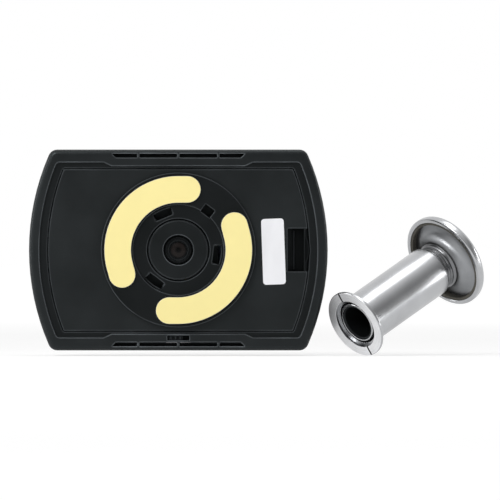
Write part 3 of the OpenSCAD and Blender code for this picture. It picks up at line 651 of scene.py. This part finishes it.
# Sizes of the barrel in millimetres, as in its solids
SLEEVE_R, SLEEVE_BORE_R, SLEEVE_L = 9.75, 8.65, 42.5
SEAT_R, SEAT_DEPTH = 9.5, 1.6
COLLAR_R, COLLAR_THICK, COLLAR_FILLET = 13.3, 1.2, 2.2
EDGE = 0.35
SLOT_WIDTH, SLOT_DEPTH, SLOT_TURN = 0.8, 0.8, math.radians(-12)
BORE_R, TUBE_END, TUBE_PLAIN_R, TUBE_PLAIN_L = 7.15, 1.2, 7.75, 5.0
THREAD_R, THREAD_DEPTH, THREAD_PITCH = 8.6, 0.5, 1.25
FLANGE_Z, FLANGE_R, FLANGE_THICK, FLANGE_FRONT = 50.3, 18.2, 3.8, 56.1
HUB_R, HUB_Z = 9.2, 47.4
RECESS_R, RECESS_DEPTH, GASKET_R = 16.5, 2.2, 15.4
RIM_ROUND, SHOULDER, LENS_SEAT_R, LENS_SEAT_Z = 0.7, 2.0, 8.15, 51.1

# Finer sizes that only the scene has: broken edges, rings along the sleeve, the gasket's lip, the flat ring
# round the lens seat, the knife's overshoot, and the slack with which faces are told apart
SEAT_BREAK, BORE_BREAK, TUBE_BREAK, RIM_BREAK = 0.15, 0.1, 0.2, 0.2
SLEEVE_RINGS = (10.0, 25.0)
GASKET_SUNK, GASKET_LIP = 0.3, 0.25
LENS_LAND = 1.2
KNIFE_OVER = 1.0
FACE_SLACK, TOUCH = 0.02, 0.05

# Thread: where it starts after the plain tube and stops before the hub, its crest, flanks and run-outs
THREAD_HEAD, THREAD_START, THREAD_STOP, THREAD_TAIL = 0.5, 0.6, 0.5, 0.45
CREST_END, ROOT_END, FLANK = 0.3, 0.7, 0.25
FADE_IN, FADE_OUT, STEPS_A_TURN = 1.2, 0.8, 8


def sleeve_mesh():
    """Collar and sleeve with rounded edges, and with the collar's face in a finish of its own."""
    profile = [(SEAT_R + SEAT_BREAK, 0.0)]
    profile += arc(COLLAR_R - EDGE, EDGE, EDGE, -90, 0, 5)
    profile += arc(COLLAR_R - EDGE, COLLAR_THICK - EDGE, EDGE, 0, 90, 5)
    profile += arc(SLEEVE_R + COLLAR_FILLET, COLLAR_THICK + COLLAR_FILLET, COLLAR_FILLET, 270, 180, 12)
    profile += [(SLEEVE_R, z) for z in SLEEVE_RINGS]
    profile += arc(SLEEVE_R - EDGE, SLEEVE_L - EDGE, EDGE, 0, 90, 5)
    profile += [(SLEEVE_BORE_R + BORE_BREAK, SLEEVE_L), (SLEEVE_BORE_R, SLEEVE_L - BORE_BREAK)]
    profile += [(SLEEVE_BORE_R, SEAT_DEPTH), (SEAT_R, SEAT_DEPTH), (SEAT_R, SEAT_BREAK)]
    work = lathe(profile, 160)
    for face in work.faces:
        face.material_index = int(face.calc_center_median().z < FACE_SLACK * MM)
    return close(work, "sleeve")


def box_mesh(name, low, high):
    """A box between two corners."""
    work = bmesh.new()
    bmesh.ops.create_cube(work, size=1.0)
    for vert in work.verts:
        vert.co = Vector(l + (h - l) * (c + 0.5) for l, h, c in zip(low, high, vert.co))
    return close(work, name)


def cut_slot(piece):
    """Cuts the driver slot into the collar and paints its walls near black, as painted shade."""
    half = SLOT_WIDTH / 2 * MM
    over = KNIFE_OVER * MM
    reach = COLLAR_R * MM + over
    knife = bpy.data.objects.new(
        "slot_knife", box_mesh("slot_knife", (-reach, -half, -over), (reach, half, SLOT_DEPTH * MM))
    )
    knife.data.materials.append(MATERIALS["slot_shade"])
    scene.collection.objects.link(knife)
    knife.matrix_world = Matrix.Rotation(SLOT_TURN, 4, "Z")
    cut = piece.modifiers.new("slot", "BOOLEAN")
    cut.object = knife
    cut.operation = "DIFFERENCE"
    cut.solver = "EXACT"
    cut.material_mode = "TRANSFER"
    bpy.context.view_layer.update()
    made = bpy.data.meshes.new_from_object(piece.evaluated_get(bpy.context.evaluated_depsgraph_get()))
    piece.modifiers.clear()
    piece.data = made
    bpy.data.objects.remove(knife)


def thread_profile():
    """Points of a helical thread that runs out at both ends."""
    start, stop = TUBE_END + TUBE_PLAIN_L + THREAD_START, HUB_Z - THREAD_STOP
    step = THREAD_PITCH / STEPS_A_TURN
    count = int((stop - start) / step)

    def groove(height, a):
        u = (height / THREAD_PITCH - a / (2 * math.pi)) % 1.0
        falling = min(max((u - CREST_END) / FLANK, 0.0), 1.0)
        rising = 1.0 - min((u - ROOT_END) / FLANK, 1.0)
        fade = min((height - start) / FADE_IN, (stop - height) / FADE_OUT, 1.0)
        return THREAD_R - THREAD_DEPTH * (falling if u < ROOT_END else rising) * max(fade, 0.0)

    heights = [start + step * i for i in range(count + 1)]
    return [(lambda a, h=h: groove(h, a), h) for h in heights]


def head_mesh():
    """Threaded tube, hollow flare, rim, shoulder and dome of the barrel's head."""
    floor_z = FLANGE_Z + RECESS_DEPTH
    thread_z = TUBE_END + TUBE_PLAIN_L
    profile = [(BORE_R, TUBE_END), (TUBE_PLAIN_R - TUBE_BREAK, TUBE_END)]
    profile += [(TUBE_PLAIN_R, TUBE_END + TUBE_BREAK), (TUBE_PLAIN_R, thread_z)]
    profile += [(THREAD_R, thread_z + THREAD_HEAD)]
    profile += thread_profile()
    profile += [(THREAD_R, HUB_Z - THREAD_TAIL), (HUB_R, HUB_Z)]
    for i in range(1, 17):
        a = math.pi / 2 * i / 16
        r = GASKET_R - (GASKET_R - HUB_R) * math.cos(a)
        profile.append((r, HUB_Z + (floor_z - HUB_Z) * math.sin(a)))
    profile += [(RECESS_R, floor_z), (RECESS_R, FLANGE_Z + RIM_BREAK), (RECESS_R + RIM_BREAK, FLANGE_Z)]
    profile += arc(FLANGE_R - RIM_ROUND, FLANGE_Z + RIM_ROUND, RIM_ROUND, 270, 360, 8)
    profile += arc(FLANGE_R - SHOULDER, FLANGE_Z + FLANGE_THICK - SHOULDER, SHOULDER, 0, 75, 12)
    edge_r, edge_z = profile[-1]
    for i in range(1, 13):
        t = i / 12
        r = edge_r + (LENS_SEAT_R + LENS_LAND - edge_r) * t
        profile.append((r, edge_z + (FLANGE_FRONT - edge_z) * (1 - (1 - t) ** 2)))
    profile += [(LENS_SEAT_R, FLANGE_FRONT), (LENS_SEAT_R, LENS_SEAT_Z), (BORE_R, LENS_SEAT_Z)]
    work = lathe(profile, 128)
    for face in work.faces:
        middle = face.calc_center_median()
        radius, height = middle.xy.length / MM, middle.z / MM
        if THREAD_R < radius < RECESS_R - TOUCH and HUB_Z < height < floor_z + TOUCH:
            face.material_index = 1
        elif TUBE_PLAIN_R < radius < HUB_R + TOUCH and height < HUB_Z + TOUCH:
            # The thread's faces: darker plating, as painted shade
            face.material_index = 2
    return close(work, "head")


def gasket_mesh():
    """Rubber ring in the flange, with a rounded lip."""
    floor_z, lip_z = FLANGE_Z + RECESS_DEPTH, FLANGE_Z + GASKET_SUNK + GASKET_LIP
    profile = [(GASKET_R, floor_z)]
    profile += arc(GASKET_R + GASKET_LIP, lip_z, GASKET_LIP, 180, 270, 5)
    profile += arc(RECESS_R - GASKET_LIP, lip_z, GASKET_LIP, 270, 360, 5)
    profile += [(RECESS_R, floor_z)]
    return close(lathe(profile, 128), "gasket")


def barrel():
    """Builds the turned pieces along Z, then puts their meshes where the barrel stands."""
    sleeve = new_piece("sleeve_tube", sleeve_mesh(), MATERIALS["chrome"], None, "barrel_sleeve")
    sleeve.data.materials.append(MATERIALS["chrome_collar"])
    cut_slot(sleeve)
    head = new_piece("head_flange", head_mesh(), MATERIALS["chrome"], None, "barrel_head")
    head.data.materials.append(MATERIALS["chrome_dish"])
    head.data.materials.append(MATERIALS["chrome_thread_painted_shade"])
    rubber = MATERIALS["seal_rubber"]
    ring = new_piece("flange_ring", gasket_mesh(), rubber, None, "flange_gasket")
    for piece, body in ((sleeve, "sleeve"), (head, "head"), (ring, "head")):
        piece.data.transform(BARREL)
        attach(piece, body)


def front_outline(node):
    """Corner points round the front face of a flat node, in order."""
    work = bmesh.new()
    work.from_mesh(nodes[node].data)
    bmesh.ops.remove_doubles(work, verts=work.verts, dist=WELD)
    front = {face for face in work.faces if face.normal.y < -0.9}
    links = {}
    for edge in work.edges:
        if len(front.intersection(edge.link_faces)) == 1:
            a, b = edge.verts
            links.setdefault(a, []).append(b)
            links.setdefault(b, []).append(a)
    start = next(iter(links))
    loop, last = [start], None
    while True:
        following = next(v for v in links[loop[-1]] if v is not last)
        last = loop[-1]
        if following is start:
            break
        loop.append(following)
    points = [v.co.copy() for v in loop]
    work.free()
    return points


FOAM_BULGE = 0.14 * MM
FOAM_DRAW = 0.05 * MM
FOAM_LAYERS = 7


def foam_pad(node, name):
    """Foam pad whose cut sides swell a little under the paper."""
    low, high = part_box(node)
    outline = front_outline(node)
    count = len(outline)
    outward = []
    for i in range(count):
        along = (outline[(i + 1) % count] - outline[i - 1]).normalized()
        outward.append(Vector((along.z, 0.0, -along.x)))
    area = sum(a.x * b.z - b.x * a.z for a, b in zip(outline, outline[1:] + outline[:1]))
    if area < 0:
        outward = [-o for o in outward]
    work = bmesh.new()
    rows = []
    for layer in range(FOAM_LAYERS):
        t = layer / (FOAM_LAYERS - 1)
        swell = FOAM_BULGE * math.sin(math.pi * t) - FOAM_DRAW
        y = low.y + (high.y - low.y) * t
        rows.append([work.verts.new(Vector((p.x, y, p.z)) + o * swell) for p, o in zip(outline, outward)])
    for near, far in zip(rows, rows[1:]):
        for i in range(count):
            j = (i + 1) % count
            work.faces.new((near[i], near[j], far[j], far[i]))
    work.faces.new(rows[0])
    work.faces.new(rows[-1])
    bmesh.ops.recalc_face_normals(work, faces=work.faces)
    mark_sharp(work, FOAM_SHARP)
    pad = new_piece(name, close(work, name), MATERIALS["foam"], "plate", node)


# Lens tube: its steps, which of them is lighter, and finer sizes in millimetres
LENS_STEPS, LENS_RING = 4, 1
LENS_LIP, LENS_EDGE, GLASS_ROOM, GLASS_LEDGE = 0.5, 0.12, 0.05, 0.35


def lens_tube():
    """Camera lens tube whose mouth steps down to the glass in light-trap rings."""
    low, high = (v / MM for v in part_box("lens_barrel"))
    glass_low, glass_high = (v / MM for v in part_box("lens_front"))
    outer, seat = high.x, glass_high.x + GLASS_ROOM
    front, back = low.y, high.y
    mouth, ledge = glass_low.y, glass_high.y
    profile = [(seat - GLASS_LEDGE, back), (seat - GLASS_LEDGE, ledge), (seat, ledge), (seat, mouth)]
    step = (outer - LENS_LIP - seat) / LENS_STEPS
    for i in range(LENS_STEPS):
        r = seat + step * (i + 1)
        profile += [(r, mouth + (front - mouth) * k / LENS_STEPS) for k in (i, i + 1)]
    profile += arc(outer - LENS_EDGE, front + LENS_EDGE, LENS_EDGE, -90, 0, 4)
    profile += [(outer, back)]
    work = lathe(profile, 96)
    ring = seat + step * LENS_RING
    for face in work.faces:
        radius = face.calc_center_median().xy.length / MM
        face.material_index = int(abs(face.normal.z) > 0.5 and ring < radius < ring + step)
    bmesh.ops.rotate(work, verts=work.verts, matrix=Matrix.Rotation(-math.pi / 2, 3, "X"))
    body = nodes["lens_barrel"]["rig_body"]
    mesh = close(work, "lens_tube")
    tube = new_piece("lens_tube", mesh, MATERIALS["lens_black"], body, "lens_barrel")
    tube.data.materials.append(MATERIALS["dull_black"])


LABEL_TILT = math.radians(2.0)
LABEL_CORNER = 1.2 * MM


def label():
    """Blank label, stuck on a little crooked as in the photograph."""
    low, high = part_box("label_sticker")
    middle = (low + high) / 2
    across, up = (high.x - low.x) / 2 - LABEL_CORNER, (high.z - low.z) / 2 - LABEL_CORNER
    outline = []
    for sx, sz, start in ((1, 1, 0), (-1, 1, 90), (-1, -1, 180), (1, -1, 270)):
        outline += arc(sx * across, sz * up, LABEL_CORNER, start, start + 90, 8)
    work = bmesh.new()
    turn = Matrix.Rotation(-LABEL_TILT, 4, "Y")
    front = [work.verts.new(middle + turn @ Vector((x, low.y - middle.y, z))) for x, z in outline]
    back = [work.verts.new(v.co + Vector((0, high.y - low.y, 0))) for v in front]
    work.faces.new(front)
    work.faces.new(back[::-1])
    for i in range(len(front)):
        j = (i + 1) % len(front)
        work.faces.new((front[j], front[i], back[i], back[j]))
    bmesh.ops.recalc_face_normals(work, faces=work.faces)
    mark_sharp(work, TURNED_SHARP)
    new_piece("blank_label", close(work, "label"), MATERIALS["sticker"], "cover", "label_sticker")


# Depths between which the back shell's ledge lies, whose front faces are painted darker as the shade under
# the band's step
LEDGE_SHADE_DEPTHS = (2.0 * MM, 5.0 * MM)

barrel()
lens_tube()
label()
foam_pad("pad_upper", "foam_pad_upper")
foam_pad("pad_lower", "foam_pad_lower")
dressed("rear_shell", "shell_back", 0.24 * MM, shaded_depths=LEDGE_SHADE_DEPTHS)
dressed("front_shell", "shell_front", 0.2 * MM)
dressed("back_cover", "cover_panel", 0.2 * MM)
dressed("mount_plate", "twist_plate", 0.2 * MM)
dressed("camera_housing", "camera_boss", 0.2 * MM)
dressed("cover_latch", "latch_tongue", 0.12 * MM)
dressed("screen_gasket", "window_seal", 0.06 * MM)


# Stage, lights and camera

# Dim sides of the studio: direction, where the fall starts and ends, and the level there
DIM_SIDES = (
    ((0.911, -0.281, 0.302), 0.70, 0.985, 0.27),
    ((0.0, -1.0, 0.0), 0.55, 0.92, 0.28),
    ((-1.0, 0.0, 0.0), 0.82, 0.97, 0.25),
)
DIFFUSE_LEVEL = 0.5

# Lamps: place, target, width and height in metres, and power in watts
MIDDLE = (0.03, 0.0, 0.0)
LAMPS = {
    "key": ((-0.55, -0.95, 0.75), MIDDLE, (0.6, 0.5), 8.1),
    "overhead": ((0.18, 0.05, 0.98), (0.08, 0.01, -0.015), (0.46, 0.46), 1.6),
    "left_strip": ((-1.1, -0.1, 0.15), MIDDLE, (0.25, 0.9), 5.0),
    "right_strip": ((1.2, 0.1, 0.1), MIDDLE, (0.25, 0.7), 3.2),
}

# Floor: glow near the object and far away, and the distances between which it grows
FLOOR_GLOW, FLOOR_REACH = (0.62, 0.82), (0.3, 2.0)


def world():
    """White studio that dims behind the camera and to both sides; softer for diffuse light."""
    made = bpy.data.worlds.new("studio")
    scene.world = made
    made.use_nodes = True
    n = Nodes(made.node_tree)
    where = n.add("ShaderNodeTexCoord").outputs["Generated"]
    light = None
    for side, start, stop, level in DIM_SIDES:
        fall = n.spread(n.vector("DOT_PRODUCT", where, side), 1.0, level, start, stop)
        light = fall if light is None else n.number("MINIMUM", light, fall)
    path = n.add("ShaderNodeLightPath").outputs
    seen = path["Is Camera Ray"]
    for ray in ("Is Glossy Ray", "Is Transmission Ray"):
        seen = n.number("MAXIMUM", seen, path[ray])
    back = made.node_tree.nodes["Background"]
    n.put(back, "Color", light)
    n.put(back, "Strength", n.spread(seen, DIFFUSE_LEVEL, 1.0, 0.0, 1.0))


def floor():
    """Pale floor that glows almost white and still takes the object's shadow."""
    mesh = bpy.data.meshes.new("floor")
    half = FLOOR_SIZE / 2
    corners = [(x, y, FLOOR_Z) for x, y in ((-half, -half), (half, -half), (half, half), (-half, half))]
    mesh.from_pydata(corners, [], [(0, 1, 2, 3)])
    made = bpy.data.objects.new("floor", mesh)
    scene.collection.objects.link(made)
    s = Shader("floor")
    where = s.coordinates()
    s.set(
        Base_Color=s.blend(s.spread(s.noise(where, 3.0), 0.0, 1.0), grey(0.42), grey(0.44)),
        Roughness=0.9,
        Specular_IOR_Level=0.0,
        Emission_Color=grey(1.0),
        Emission_Strength=s.spread(s.vector("LENGTH", where), *FLOOR_GLOW, *FLOOR_REACH),
    )
    made.data.materials.append(s.material)


def lamp(name, place, target, size, power):
    """An area lamp that the camera doesn't see."""
    data = bpy.data.lights.new(name, "AREA")
    data.shape = "RECTANGLE"
    data.size, data.size_y = size
    data.energy = power
    made = bpy.data.objects.new(name, data)
    made.location = place
    made.rotation_mode = "QUATERNION"
    made.rotation_quaternion = (Vector(target) - Vector(place)).to_track_quat("-Z", "Y")
    made.visible_camera = False
    scene.collection.objects.link(made)


def camera():
    """Level camera in front of the door plate, far away as in the photograph."""
    data = bpy.data.cameras.new("camera")
    data.sensor_width = SENSOR
    data.lens = SENSOR * CAMERA_DISTANCE / PHOTO_WIDTH
    data.clip_end = CAMERA_REACH
    made = bpy.data.objects.new("camera", data)
    made.location = (PHOTO_MIDDLE_X, -CAMERA_DISTANCE, 0.0)
    made.rotation_euler = (math.pi / 2, 0.0, 0.0)
    scene.collection.objects.link(made)
    scene.camera = made


world()
floor()
for name, settings in LAMPS.items():
    lamp(name, *settings)
camera()
scene.view_settings.view_transform = "Standard"
